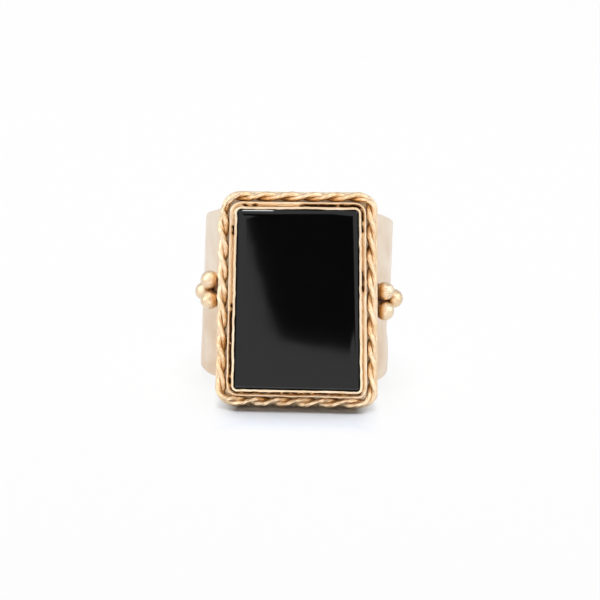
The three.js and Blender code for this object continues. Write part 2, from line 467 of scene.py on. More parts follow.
half_head = band_high.z
band_spots = [vertex.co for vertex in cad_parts["band"].data.vertices]
half_back = max(spot.z for spot in band_spots if spot.y > 0.98 * band_high.y)
print("band half width, mm: front", round(half_head / MM, 2), "back", round(half_back / MM, 2))


def arc(middle, radius, start, end, steps):
    """Points on a round stretch of an outline, as pairs; the angles are in degrees."""
    points = []
    for step in range(steps + 1):
        angle = math.radians(start + (end - start) * step / steps)
        points.append((middle[0] + radius * math.cos(angle), middle[1] + radius * math.sin(angle)))
    return points


def band_section():
    """The band's closed section as (radius, height) pairs, with rounded corners."""
    outer = band_radius - BAND_OUTER_ROUND
    inner = finger_radius + BAND_INNER_ROUND
    high = half_head - BAND_OUTER_ROUND
    high_inner = half_head - BAND_INNER_ROUND
    points = []
    for row in range(1, BAND_ROWS):
        points.append((band_radius, -high + 2 * high * row / BAND_ROWS))
    points += arc((outer, high), BAND_OUTER_ROUND, 0, 90, ROUND_STEPS)
    points += arc((inner, high_inner), BAND_INNER_ROUND, 90, 180, ROUND_STEPS)
    for row in range(1, BAND_INNER_ROWS):
        points.append((finger_radius, high_inner - 2 * high_inner * row / BAND_INNER_ROWS))
    points += arc((inner, -high_inner), BAND_INNER_ROUND, 180, 270, ROUND_STEPS)
    points += arc((outer, -high), BAND_OUTER_ROUND, 270, 360, ROUND_STEPS)
    return points


band = bmesh.new()
section = [band.verts.new((radius, 0, height)) for radius, height in band_section()]
section_edges = [band.edges.new(pair) for pair in zip(section, section[1:] + section[:1])]
bmesh.ops.spin(
    band, geom=section + section_edges, cent=(0, 0, 0), axis=(0, 0, 1),
    angle=2 * math.pi, steps=BAND_STEPS, use_merge=True,
)
print("band tube:", len(band.verts), "vertices")

# %% Taper the tube and hammer it
HAMMER_MARK = 1.5 * MM
HAMMER_DEPTH = 0.065 * MM
HAMMER_DRIFT = 4 * MM
EDGE_WANDER = 0.10 * MM
EDGE_WAVE = 3 * MM
BLOW_HEIGHT = -3.3 * MM
BLOW_SIZE = 1.3 * MM
BLOW_DEPTH = 0.26 * MM


def half_width_at(spot):
    """The band's half width at a point, with edges that wander a little."""
    way_back = (spot.y + band_radius) / (2 * band_radius)
    edge = Vector((spot.x, spot.y, math.copysign(band_radius, spot.z)))
    wander = noise.noise(edge / EDGE_WAVE)
    return half_head + (half_back - half_head) * way_back + EDGE_WANDER * (wander - 0.5)


def hammer_depth(spot):
    """How far the hammer has sunk the surface at a point."""
    distances = noise.voronoi(spot / HAMMER_MARK)[0]
    rim = min(distances[1] - distances[0], 0.5) / 0.5
    soft = 0.5 + 0.5 * noise.noise(spot / HAMMER_DRIFT)
    dish = (1 - distances[0] ** 2) * (0.45 + 0.55 * rim)
    on_right = share(2 * spot.x / band_radius)
    blow = on_right * math.exp(-((spot.z - BLOW_HEIGHT) / BLOW_SIZE) ** 2)
    return HAMMER_DEPTH * (0.35 + 0.65 * soft) * max(dish, 0.0) + BLOW_DEPTH * blow


for vertex in band.verts:
    spot = vertex.co.copy()
    vertex.co.z = spot.z * half_width_at(spot) / half_head
    out = math.hypot(spot.x, spot.y)
    surface = (out - finger_radius) / (band_radius - finger_radius)
    if surface > 0.5:
        sunk = hammer_depth(vertex.co) * min(1.0, 2 * surface - 1)
        vertex.co.x *= (out - sunk) / out
        vertex.co.y *= (out - sunk) / out
hammered_band = finish_piece("hammered_band", band, "band", hammered_gold, turned=False)

# %% [markdown]
# ## Walls that run round the stone
#
# The bezel, the frame wall and the gallery are all strips bent round the same rectangle. In the
# workshop the strip is drawn first and bent afterwards, and the model follows: the strip's
# section is a small closed loop, which `spin` carries along the straight sides, where it only
# moves, and round the corners, where it turns. The corners of every strip share their centres,
# so the gaps between the strips stay even.

# %% sweep_round_stone
CORNER_STEPS = 8
SIDE_STEP = 0.22 * MM
WELD = 5e-3 * MM
stone_corner = 0.4 * MM
corner_x = stone_half.x - stone_corner
corner_z = stone_half.z - stone_corner


def sweep_round_stone(section, y_of_section):
    """Carries a closed section round the stone.

    The section is a list of pairs: a distance from the stone's outline and a lift, which
    `y_of_section` turns into a level in Y.
    """
    shape = bmesh.new()
    verts = []
    for grow, lift in section:
        verts.append(shape.verts.new((stone_half.x + grow, y_of_section(lift), -corner_z)))
    edges = [shape.edges.new(pair) for pair in zip(verts, verts[1:] + verts[:1])]
    ends = verts + edges
    for run, corner in (
        ((0, 0, 2 * corner_z), (corner_x, 0, corner_z)),
        ((-2 * corner_x, 0, 0), (-corner_x, 0, corner_z)),
        ((0, 0, -2 * corner_z), (-corner_x, 0, -corner_z)),
        ((2 * corner_x, 0, 0), (corner_x, 0, -corner_z)),
    ):
        length = Vector(run).length
        steps = max(1, round(length / SIDE_STEP))
        made = bmesh.ops.spin(
            shape, geom=ends, cent=(0, 0, 0), axis=(0, 1, 0),
            dvec=Vector(run) / steps, angle=0, steps=steps,
        )
        made = bmesh.ops.spin(
            shape, geom=made["geom_last"], cent=corner, axis=(0, -1, 0),
            angle=math.pi / 2, steps=CORNER_STEPS,
        )
        ends = made["geom_last"]
    bmesh.ops.remove_doubles(shape, verts=shape.verts, dist=WELD)
    return shape


def jitter(shape, amount, size, seed, where=lambda spot: 1.0):
    """Moves vertices by smooth noise, as hand work does; `where` fades it out."""
    drift = Vector((seed, 3.7 * seed, -1.9 * seed))
    for vertex in shape.verts:
        push = noise.noise_vector(vertex.co / size + drift)
        vertex.co += amount * where(vertex.co) * push


print("stone half size, mm:", round(stone_half.x / MM, 3), round(stone_half.z / MM, 3))

# %% [markdown]
# ## The bezel
#
# The bezel is a thin wall of soft gold. A burnisher pushes its top edge over the stone, a little
# more here and a little less there, so the lip that shows is wavy and never quite even. The
# section is a plain wall with a lip that leans inwards, and noise moves the lip afterwards.

# %% The bezel
LIP_GAP = 0.01 * MM
LIP_ROUND = 0.07 * MM
LIP_DEPTH = 0.20 * MM
SHOULDER_ROUND = 0.10 * MM
BEZEL_INNER = 0.04 * MM
LIP_ZONE = 0.35 * MM
LIP_ZONE_FADE = 0.3 * MM
bezel_outer = bezel_high.x - stone_half.x
bezel_top = bezel_high.y - bezel_low.y


def bezel_section():
    """From the foot of the outer face, over the lip and down the inner face."""
    points = [(bezel_outer, rise * bezel_top) for rise in (0.0, 0.5, 0.8)]
    shoulder = (bezel_outer - SHOULDER_ROUND, bezel_top - SHOULDER_ROUND)
    points += arc(shoulder, SHOULDER_ROUND, 0, 90, 4)
    points += arc((LIP_GAP + LIP_ROUND, bezel_top - LIP_ROUND), LIP_ROUND, 90, 180, 4)
    points += [(BEZEL_INNER, bezel_top - LIP_DEPTH), (BEZEL_INNER, 0.5 * bezel_top), (BEZEL_INNER, 0.0)]
    return points


def on_lip(spot):
    """1 on the pressed lip and 0 on the wall behind it."""
    return share((bezel_low.y + LIP_ZONE - spot.y) / LIP_ZONE_FADE)


bezel = sweep_round_stone(bezel_section(), lambda lift: bezel_high.y - lift)
jitter(bezel, amount=0.065 * MM, size=0.8 * MM, seed=1.3, where=on_lip)
jitter(bezel, amount=0.06 * MM, size=2.6 * MM, seed=5.1, where=on_lip)
burnished_bezel = finish_piece("burnished_bezel", bezel, "bezel", polished_gold)

# %% [markdown]
# ## The frame wall
#
# Outside the bezel stands a second, stouter wall. Its ridge is on the outside and slopes down to
# the narrow channel beside the bezel. Solder has run into most of that channel and left it
# shallow, and where it has not run there are dark holes. So the section gets a shelf that
# reaches to the bezel, and along the open stretches the shelf is let down and painted darker: a
# painted shade in the holes.

# %% The frame wall's section
FRAME_WALL = 0.34 * MM
RIDGE_ROUND = 0.09 * MM
SLOPE_ROUND = 0.06 * MM
SLOPE_DROP = 0.10 * MM
SLOPE_END_DEGREES = 115
SOLDER_DEPTH = 0.04 * MM
frame_outer = wall_high.x - stone_half.x
frame_inner = frame_outer - FRAME_WALL
frame_top = wall_high.y - wall_low.y
solder_edge = bezel_outer + 0.012 * MM
solder_level = frame_top - SLOPE_DROP - SLOPE_ROUND - SOLDER_DEPTH


def frame_section():
    """A ridge at the outer edge, a slope that falls inwards and the shelf of solder."""
    points = [(frame_outer, 0.0), (frame_outer, 0.5 * frame_top)]
    ridge_middle = (frame_outer - RIDGE_ROUND, frame_top - RIDGE_ROUND)
    points += arc(ridge_middle, RIDGE_ROUND, 0, SLOPE_END_DEGREES, 8)
    slope_middle = (frame_inner + SLOPE_ROUND, frame_top - SLOPE_DROP - SLOPE_ROUND)
    points += arc(slope_middle, SLOPE_ROUND, SLOPE_END_DEGREES, 180, 4)
    points += [(frame_inner - 0.02 * MM, solder_level), (frame_inner - 0.08 * MM, solder_level)]
    points += [(solder_edge, solder_level), (solder_edge, 0.3 * frame_top), (solder_edge, 0.0)]
    return points


print("solder shelf, mm below the ridge:", round((frame_top - solder_level) / MM, 2))

# %% Where the channel is open, as stretches along each side in millimetres
OPEN_STRETCHES = {
    "top": ((0.3, 7.4), (-4.9, -4.3), (-6.0, -5.4)),
    "bottom": ((-6.8, 6.8),),
    "left": ((-9.6, -0.6), (6.6, 8.0)),
    "right": ((6.9, 9.6), (1.4, 3.2)),
}
HOLE_SHARE = {"top": 1.3, "bottom": 0.7, "left": 1.35, "right": 1.0}
HOLE_DEPTH = 0.38 * MM
HOLE_RAGGED = 0.45 * MM
HOLE_SHADE = 0.5
HOLE_EDGE = 0.11 * MM
print("open stretches:", sum(len(runs) for runs in OPEN_STRETCHES.values()))


def hole_at(spot):
    """How open the channel is at a point, from 0 upwards."""
    if abs(spot.z) - stone_half.z > abs(spot.x) - stone_half.x:
        side, along = ("top" if spot.z > 0 else "bottom"), spot.x
    else:
        side, along = ("right" if spot.x > 0 else "left"), spot.z
    inside = max(min(along / MM - start, end - along / MM) for start, end in OPEN_STRETCHES[side])
    ragged = 0.9 * noise.noise(spot / HOLE_RAGGED)
    return HOLE_SHARE[side] * share(2.5 * (min(inside, 0.35) + ragged))


def from_outline(spot):
    """How far a point lies outside the stone's outline."""
    over_x = abs(spot.x) - corner_x
    over_z = abs(spot.z) - corner_z
    in_corner = over_x > 0 and over_z > 0
    return (math.hypot(over_x, over_z) if in_corner else max(over_x, over_z)) - stone_corner


def on_front(spot):
    """1 on the wall's front and 0 behind it."""
    return 1.0 if spot.y < wall_high.y - 0.6 * frame_top else 0.0


# %% The frame wall
frame_wall = sweep_round_stone(frame_section(), lambda lift: wall_high.y - lift)
# The wall's bloom_and_shade holds the painted shade in the open holes of the channel
bloom_and_shade = frame_wall.verts.layers.float.new("bloom_and_shade")
for vertex in frame_wall.verts:
    if on_front(vertex.co):
        near_hole = share((frame_inner + HOLE_EDGE - from_outline(vertex.co)) / HOLE_EDGE)
        hole = near_hole * hole_at(vertex.co)
        vertex.co.y += HOLE_DEPTH * hole
        vertex[bloom_and_shade] = HOLE_SHADE * hole
jitter(frame_wall, amount=0.03 * MM, size=1.6 * MM, seed=2.4, where=on_front)
jitter(frame_wall, amount=0.028 * MM, size=0.4 * MM, seed=7.7, where=on_front)
ridge = finish_piece("frame_ridge", frame_wall, "frame_wall", polished_gold)

# %% [markdown]
# ## The head plate
#
# The plate is cut from sheet: a block with round corners and a softened rim. A cube is scaled to
# size, its four upright edges are bevelled into the corners, and then the rim is bevelled. An
# inset on the face keeps the smooth shading of the rim from creeping over the flat. A file has
# taken a little off the two long sides.

# %% rounded_slab and the plate


def at_level(parts, level):
    """The edges or faces among parts that lie wholly at a level in Y."""
    return [part for part in parts if all(abs(v.co.y - level) < HAIR for v in part.verts)]


def round_edges(shape, edges, radius, steps):
    """Bevels edges into a round of so many steps."""
    bmesh.ops.bevel(
        shape, geom=edges, offset=radius, affect="EDGES", segments=steps, profile=0.5, material=-1,
    )


def rounded_slab(low, high, corner, edge, edge_steps=4, levels=None):
    """A block with round corners in X and Z, and rounded rims at its front and back levels."""
    shape = bmesh.new()
    bmesh.ops.create_cube(shape, size=1)
    bmesh.ops.scale(shape, vec=high - low, verts=shape.verts)
    bmesh.ops.translate(shape, vec=(high + low) / 2, verts=shape.verts)
    thick = high.y - low.y
    uprights = [e for e in shape.edges if abs(e.verts[0].co.y - e.verts[1].co.y) > 0.5 * thick]
    round_edges(shape, uprights, corner, CORNER_ROUND_STEPS)
    for level in levels or (low.y, high.y):
        round_edges(shape, at_level(shape.edges, level), edge, edge_steps)
        flat = at_level(shape.faces, level)
        bmesh.ops.inset_region(shape, faces=flat, thickness=FLAT_INSET, use_even_offset=True)
    return shape


CORNER_ROUND_STEPS = 12
FLAT_INSET = 0.03 * MM
PLATE_EDGE = 0.16 * MM
ROPE_CORNER = 1.2 * MM
ROPE_GAP = 0.04 * MM
ROPE_RADIUS = 0.52 * MM
FILED_SIDES = 0.08 * MM
rope_grow = frame_outer + ROPE_GAP + ROPE_RADIUS
plate_corner = ROPE_CORNER + plate_high.x - stone_half.x - rope_grow
filed = Vector((FILED_SIDES, 0, 0))
plate = rounded_slab(plate_low + filed, plate_high - filed, plate_corner, PLATE_EDGE)
backing_plate = finish_piece("backing_plate", plate, "head_plate", polished_gold)

# %% [markdown]
# ## The gallery
#
# The gallery carries the flat plate on the round band. It is one more strip round the stone's
# outline, but its lower rim has to follow the band. Rather than cut it, each vertex of the rim
# is slid back along Y until it meets the band's radius, as a goldsmith files a saddle to fit.

# %% The gallery
GALLERY_ROWS = 10
GALLERY_WALL = 0.8 * MM
SADDLE_GAP = 0.02 * MM
gallery_outer = gallery_high.x - stone_half.x
gallery_inner = gallery_outer - GALLERY_WALL
saddle_radius = band_radius + SADDLE_GAP


def gallery_section():
    """A plain wall whose levels run from 0 at the plate to 1 at the band."""
    rows = [row / GALLERY_ROWS for row in range(GALLERY_ROWS + 1)]
    outside = [(gallery_outer, row) for row in rows]
    inside = [(gallery_inner, row) for row in reversed(rows)]
    return outside + inside


gallery = sweep_round_stone(gallery_section(), lambda row: row * MM)
bmesh.ops.transform(gallery, matrix=turn_head, verts=gallery.verts)
for vertex in gallery.verts:
    row = vertex.co.y / MM
    rim = -math.sqrt(max(saddle_radius ** 2 - vertex.co.x ** 2, 0.0))
    vertex.co.y = gallery_low.y + row * (rim - gallery_low.y)
saddle_gallery = finish_piece(
    "saddle_gallery", gallery, "head_gallery", polished_gold, turned=False
)

# %% [markdown]
# ## The stone
#
# A slab, cut and polished flat, with an edge that the polishing has softened. It could stay a
# bevelled block, but a lap always takes a little more off near the rim, and that faint fall is
# what bends a reflection where it nears the edge. So the table is inset in narrow rings and each
# ring is sunk by the square of its distance from the flat. The foot of the stone stays flat.
#
# At the top edge one short stretch was ground a little steeper. It is cut out with four bisecting
# planes, so that its ends are sharp, and its vertices are set on a slope of their own.

# %% The stone's slab and the fall of its face
STONE_EDGE = 0.25 * MM
STONE_EDGE_STEPS = 8
DOME_WIDTH = 0.95 * MM
DOME_STEPS = 7
DOME_CURVE = 0.048 / MM

stone = rounded_slab(
    stone_low, stone_high, stone_corner, STONE_EDGE, STONE_EDGE_STEPS, (stone_low.y,)
)
table = max(at_level(stone.faces, stone_low.y), key=lambda face: face.calc_area())
for step in range(DOME_STEPS + 1):
    bmesh.ops.inset_region(stone, faces=[table], thickness=HAIR)
    inside = STONE_EDGE + (DOME_WIDTH - STONE_EDGE) * (step + 1) / DOME_STEPS
    for vertex in table.verts:
        vertex.co.x = math.copysign(min(abs(vertex.co.x), stone_half.x - inside), vertex.co.x)
        vertex.co.z = math.copysign(min(abs(vertex.co.z), stone_half.z - inside), vertex.co.z)
for vertex in stone.verts:
    inside = min(stone_half.x - abs(vertex.co.x), stone_half.z - vertex.co.z)
    vertex.co.y += DOME_CURVE * max(0.0, DOME_WIDTH - inside) ** 2
print("fall at the stone's edge, mm:", round(DOME_CURVE * DOME_WIDTH ** 2 / MM, 3))

# %% The shadowed rim and the glinting facet
SHADOW_RIM_WIDTH = 0.17 * MM
SHADOW_RIM_FADE = 0.07 * MM
GLINT_START = -5.85 * MM
GLINT_END = -2.75 * MM
GLINT_FADE = 0.25 * MM
GLINT_SLOPE = 0.68
GLINT_FOOT = 0.06 * MM
GLINT_HEAD = 0.24 * MM
GLINT_COAT = 0.8

for place_x in (GLINT_START - GLINT_FADE, GLINT_START, GLINT_END, GLINT_END + GLINT_FADE):
    parts = stone.verts[:] + stone.edges[:] + stone.faces[:]
    bmesh.ops.bisect_plane(
        stone, geom=parts, plane_co=(place_x, 0, 0), plane_no=(1, 0, 0), dist=0.1 * HAIR
    )
# shadowed_rim: where the painted shadow along the stone's edge takes over
shadowed_rim = stone.verts.layers.float.new("shadowed_rim")
glint = stone.verts.layers.float.new("glint")
for vertex in stone.verts:
    inside = min(stone_half.x - abs(vertex.co.x), stone_half.z - abs(vertex.co.z))
    vertex[shadowed_rim] = share((SHADOW_RIM_WIDTH - inside) / SHADOW_RIM_FADE)
    over_glint = GLINT_START - HAIR <= vertex.co.x <= GLINT_END + HAIR and vertex.co.z > 0
    if over_glint and GLINT_FOOT < inside < GLINT_HEAD:
        vertex.co.y = stone_low.y + GLINT_SLOPE * (STONE_EDGE - inside)
        vertex[glint] = GLINT_COAT
        vertex[shadowed_rim] = 0.0
polished_stone = finish_piece("polished_stone", stone, "stone", black_stone)

# %% [markdown]
# ## The rope
#
# A goldsmith twists two wires together, anneals the rope and bends it round the setting. The
# model does the same. A circle is placed beside the axis of a straight rope and `spin` is given
# both an angle and a step along the axis, which makes a screw. Then the straight rope is bent:
# each vertex keeps its distance across and above the axis, and its distance along the axis
# becomes a distance along the rounded rectangle. A whole number of turns makes each strand meet
# its own start, and what varies along the rope is read from noise on a circle, so that it meets
# its start as well.
#
# The wires were drawn through a worn plate, which left shallow grooves along them, and the twist
# is tighter here and slacker there. Shade is painted onto the strands' side that faces the stone,
# deepest in the valleys between them and along the top, where the frame wall shades them and is
# mirrored in them. Three spots of soot from the torch stain that side too. The strands carry both
# as a `bloom_and_shade` number, which is added to their recesses.

# %% The rope's path
ROPE_TURNS = 15
ROPE_START = math.radians(18)
STRAND_STEPS = 30
STRAND_SIDES = 30
rope_level = (rope_high.y + rope_low.y) / 2
rope_turn_x = stone_half.x + rope_grow - ROPE_CORNER
rope_turn_z = stone_half.z + rope_grow - ROPE_CORNER
straight_x = 2 * rope_turn_x
straight_z = 2 * rope_turn_z
quarter = ROPE_CORNER * math.pi / 2
rope_length = 2 * (straight_x + straight_z) + 4 * quarter


def rope_point(along):
    """A point on the rope's centre line and the direction outwards from the stone there."""
    along %= rope_length
    x, z = rope_turn_x, rope_turn_z
    stretches = (
        (quarter, (x, z), 0.0), (straight_x, (x, z), 90.0),
        (quarter, (-x, z), 90.0), (straight_z, (-x, z), 180.0),
        (quarter, (-x, -z), 180.0), (straight_x, (-x, -z), 270.0),
        (quarter, (x, -z), 270.0), (straight_z, (x, -z), 360.0),
    )
    for number, (length, middle, facing) in enumerate(stretches):
        if along <= length or number == len(stretches) - 1:
            break
        along -= length
    if number % 2 == 0:
        facing += math.degrees(along / ROPE_CORNER)
    out = Vector((math.cos(math.radians(facing)), 0, math.sin(math.radians(facing))))
    spot = Vector((middle[0], 0, middle[1])) + ROPE_CORNER * out
    if number % 2 == 1:
        spot += along * Vector((-out.z, 0, out.x))
    return spot, out


print("rope, mm: length", round(rope_length / MM, 2), "lay", round(rope_length / ROPE_TURNS / MM, 2))

# %% The wire's grooves and its painted shade and soot
STRAND_RADIUS = 0.305 * MM
STRAND_OFFSET = 0.285 * MM
GROOVES = 5
GROOVE = 0.07
GROOVE_DRIFT = 5.8
VALLEY_START = 0.57 * MM
VALLEY_FADE = 0.20 * MM
# Painted shade: the valleys and the top length of the strands' stone side are painted darker
VALLEY_SHADE = 0.33
TOP_SHADE = 0.25
INNER_FADE = 0.5 * MM
SOOT_SPOTS = [Vector((x, 0, z)) * MM for x, z in ((-7.6, -4.7), (7.5, 5.9), (-3.3, -10.5))]
SOOT_REACH = 1.1 * MM
SOOT = 0.55


def grooved(along, section, phase):
    """Where a point of the straight wire's section lies once its grooves are drawn."""
    circle = 2 * math.pi * along / rope_length
    turn = ROPE_TURNS * circle + math.pi / 2
    from_centre = section - STRAND_OFFSET * Vector((math.cos(turn), math.sin(turn)))
    round_wire = math.atan2(from_centre.y, from_centre.x) - turn
    drift = 2.5 * noise.noise(GROOVE_DRIFT * Vector((math.cos(circle), math.sin(circle), phase)))
    return section + GROOVE * math.cos(GROOVES * round_wire + drift) * from_centre


def strand_shade_and_soot(spot, out, turned):
    """The painted shade and soot at a point of a strand, from where it lies about the rope's axis."""
    valley = share((VALLEY_START - turned.length) / VALLEY_FADE)
    inwards = share(0.35 - turned.x / INNER_FADE)
    nearest = min((spot - sooty).length for sooty in SOOT_SPOTS)
    soot = SOOT * max(0.0, 1 - nearest / SOOT_REACH)
    return inwards * (VALLEY_SHADE * (0.4 + 0.6 * valley) + TOP_SHADE * max(0.0, out.z) + soot)


print("wire, mm:", round(2 * STRAND_RADIUS / MM, 2))

# %% Twist the strands and bend them round
ROPE_OUT = 0.05 * MM
ROPE_FRONT = 0.6 * MM
TWIST_WANDER = 0.45
SWELL = 0.04


def make_strand(name, node, phase):
    """One wire of the rope, screwed straight and then bent round the setting."""
    strand = bmesh.new()
    bmesh.ops.create_circle(strand, segments=STRAND_SIDES, radius=STRAND_RADIUS)
    bmesh.ops.rotate(strand, matrix=Matrix.Rotation(math.pi / 2, 3, "Y"), verts=strand.verts)
    bmesh.ops.translate(strand, vec=(0, 0, STRAND_OFFSET), verts=strand.verts)
    steps = ROPE_TURNS * STRAND_STEPS
    bmesh.ops.spin(
        strand, geom=strand.verts[:] + strand.edges[:], cent=(0, 0, 0), axis=(1, 0, 0),
        dvec=(rope_length / steps, 0, 0), angle=2 * math.pi * ROPE_TURNS, steps=steps,
    )
    bloom_and_shade = strand.verts.layers.float.new("bloom_and_shade")
    for vertex in strand.verts:
        along = vertex.co.x
        section = grooved(along, vertex.co.yz, phase)
        circle = 2 * math.pi * along / rope_length
        ring = Vector((math.cos(circle), math.sin(circle), 0.3))
        wander = TWIST_WANDER * noise.noise(ring * 2.0)
        swell = 1.0 + SWELL * noise.noise(ring * 9.0)
        turned = Matrix.Rotation(ROPE_START + phase + wander - math.pi / 2, 2) @ section
        spot, out = rope_point(along)
        vertex[bloom_and_shade] = strand_shade_and_soot(spot, out, turned)
        vertex.co = spot + out * (ROPE_OUT + turned.x * swell)
        vertex.co.y = rope_level - min(turned.y, ROPE_FRONT) * swell
    jitter(strand, amount=0.042 * MM, size=0.5 * MM, seed=3.1 + phase)
    return finish_piece(name, strand, node, rope_gold)


strand_one = make_strand("twisted_strand_one", "rope_strand_one", 0.0)
strand_two = make_strand("twisted_strand_two", "rope_strand_two", math.pi)

# %% [markdown]
# ## The beads
#
# Grains of gold melt into balls, and three sit against the gallery on each shoulder. They are
# never perfect: each is stretched a little and has slipped on its solder. A UV sphere is scaled
# by a few hundredths and moved near the middle of its CAD bead. A wheel reaches beads easily, so
# they are buffed bright. The halves that face the head are painted darker and browner: painted
# shade and a painted reflection of the head's gold.

# %% The beads
BEAD_RADIUS = 1.0 * MM
# How dark the painted shade and reflection on the head side of each shoulder's beads is
BEAD_SHADE = {"left": 0.54, "right": 0.70}
BEAD_SLIP = {
    "left_upper": (-0.15, 0.13), "left_lower": (-0.1, 0.0), "left_outer": (0.12, -0.18),
    "right_upper": (0.1, 0.0), "right_lower": (0.17, -0.1), "right_outer": (0.28, 0.18),
}


def make_bead(name, number):
    """One grain, a little out of round, with painted shade and reflection towards the head."""
    side = name.split("_")[0]
    low, high = (Vector(corner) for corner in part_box(f"bead_{name}"))
    grain = bmesh.new()
    bmesh.ops.create_uvsphere(grain, u_segments=40, v_segments=24, radius=BEAD_RADIUS)
    odd = noise.noise_vector(Vector((number * 2.7, 0.4, 1.1)))
    bmesh.ops.scale(grain, vec=Vector((1, 1, 1)) + 0.04 * odd, verts=grain.verts)
    jitter(grain, amount=0.03 * MM, size=1.1 * MM, seed=number + 0.5)
    bloom_and_shade = grain.verts.layers.float.new("bloom_and_shade")
    buffed = grain.verts.layers.float.new("buffed")
    towards_head = 1 if side == "left" else -1
    for vertex in grain.verts:
        facing = towards_head * vertex.co.x / BEAD_RADIUS
        vertex[bloom_and_shade] = BEAD_SHADE[side] * share(0.42 + 1.2 * facing)
        vertex[buffed] = 1.0
    slip_x, slip_z = BEAD_SLIP[name]
    middle = (low + high) / 2 + Vector((slip_x, 0, slip_z)) * MM
    bmesh.ops.translate(grain, vec=middle, verts=grain.verts)
    finish_piece(f"grain_{name}", grain, f"bead_{name}", polished_gold, turned=False)


for number, name in enumerate(BEAD_SLIP):
    make_bead(name, number)
print(len(BEAD_SLIP), "beads")

# %% [markdown]
# ## The ledge
#
# The ledge under the stone can't be seen, and its CAD shape is right, so it only gets its finish.

# %% The ledge
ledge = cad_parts["seat_ledge"]
for slot in ledge.material_slots:
    slot.link = "OBJECT"
    slot.material = polished_gold
print("ledge keeps its CAD shape")

# %% [markdown]
# ## Measuring the recesses
#
# A buffing wheel is a blunt thing, so what it can't touch is what a few short rays can't leave.
# From each vertex rays go out over the half sphere above it. Each that meets metal within half a
# millimetre adds to the vertex's `recess`, and the nearer the metal the more it adds. A piece's
# own `bloom_and_shade` comes on top. The recess number stands for the bloom and also for the shade
# that falls in these corners, and the gold finish paints both into its colour.

# %% Recess attribute
RAY_COUNT = 14
RAY_REACH = 0.55 * MM
RAY_START = 0.012 * MM


def half_sphere(count):
    """Directions spread evenly over the half sphere about +Z."""
    golden = math.pi * (3 - math.sqrt(5))
    directions = []
    for number in range(count):
        height = (number + 0.5) / count
        flat = math.sqrt(1 - height * height)
        turn = golden * number
        directions.append(Vector((flat * math.cos(turn), flat * math.sin(turn), height)))
    return directions


def measure_recesses(goods):
    """Writes the recess attribute of every piece in goods."""
    corners = []
    faces = []
    for piece in goods:
        start = len(corners)
        corners += [vertex.co for vertex in piece.data.vertices]
        faces += [[start + index for index in face.vertices] for face in piece.data.polygons]
    tree = BVHTree.FromPolygons(corners, faces)
    rays = half_sphere(RAY_COUNT)
    for piece in goods:
        values = []
        bloom_and_shade = piece.data.attributes.get("bloom_and_shade")
        for vertex in piece.data.vertices:
            tilt = vertex.normal.to_track_quat("Z", "Y")
            begin = vertex.co + vertex.normal * RAY_START
            blocked = 0.0
            for ray in rays:
                distance = tree.ray_cast(begin, tilt @ ray, RAY_REACH)[3]
                if distance is not None:
                    blocked += 1.0 - distance / RAY_REACH
            own_bloom_and_shade = bloom_and_shade.data[vertex.index].value if bloom_and_shade else 0.0
            values.append(blocked / RAY_COUNT + own_bloom_and_shade)
        layer = piece.data.attributes.new("recess", "FLOAT", "POINT")
        layer.data.foreach_set("value", values)
        print(f"{piece.name}: recess {sorted(values)[len(values) // 2]:.2f} to {max(values):.2f}")


measure_recesses(pieces)

# %% [markdown]
# ## The floor
#
# The ring leans back on three points: the lower edge of its head and the lower back edge of its
# band. The floor is a plane through them, so it is the floor that is tilted in the ring's frame.
#
# Small shiny goods are often shown on a light table, whose glow washes the shadows out. Here the
# table glows everywhere but under the head, where it is paper and keeps a shadow. That paper is
# painted a cooler grey, a painted shade that makes the shadow under the head deeper and less warm.

# %% The plane through the ring's feet


def spots_between(piece, front, back):
    """The vertices of a piece whose depth in Y lies between two levels."""
    return [vertex.co.copy() for vertex in piece.data.vertices if front <= vertex.co.y <= back]


def lowest(spots):
    """The one with the least height along the finger."""
    return min(spots, key=lambda spot: spot.z)


plate_spots = spots_between(backing_plate, plate_low.y - MM, plate_high.y + MM)
left_foot = lowest(spot for spot in plate_spots if spot.x < -0.3 * band_radius)
right_foot = lowest(spot for spot in plate_spots if spot.x > 0.3 * band_radius)
back_foot = lowest(spots_between(hammered_band, 0.97 * band_radius, band_radius))
across = (right_foot - left_foot).normalized()
upright = across.cross(back_foot - left_foot).normalized()
forwards = upright.cross(across)
print("floor tilt, degrees:", round(math.degrees(math.acos(upright.z)), 2))

# %% The light table
FLOOR_SIZE = 3.0
# SHADED_PAPER is painted shade: the paper under the head is grey and cool to deepen its shadow
SHADED_PAPER = (0.80, 0.83, 0.88, 1.0)
TABLE_WHITE = (0.08, 0.08, 0.08, 1.0)
TABLE_GLOW = (0.90, 0.90, 0.90, 1.0)
NO_GLOW = (0.0, 0.0, 0.0, 1.0)
UNLIT_HALF_WIDTH = 6.2
UNLIT_DEPTH = 6.0
UNLIT_FADE = 2.6

table_finish = Finish("light_table", Roughness=1.0, Specular_IOR_Level=0.0, Emission_Strength=1.0)
apart = {0: table_finish.place(), 1: (left_foot + right_foot) / 2 / MM}
from_foot = table_finish.node("ShaderNodeVectorMath", {"operation": "SUBTRACT"}, apart, "Vector")
sideways = table_finish.node("ShaderNodeSeparateXYZ", None, {"Vector": from_foot}, "X").absolute()
depthways = table_finish.node("ShaderNodeSeparateXYZ", None, {"Vector": from_foot}, "Y").absolute()
beside = ((sideways - UNLIT_HALF_WIDTH) * (1.0 / UNLIT_FADE)).clamped()
before = ((depthways - UNLIT_DEPTH) * (1.0 / UNLIT_FADE)).clamped()
lit = beside.larger(before)
table_finish.set(
    Base_Color=table_finish.blend(lit, SHADED_PAPER, TABLE_WHITE),
    Emission_Color=table_finish.blend(lit, NO_GLOW, TABLE_GLOW),
)

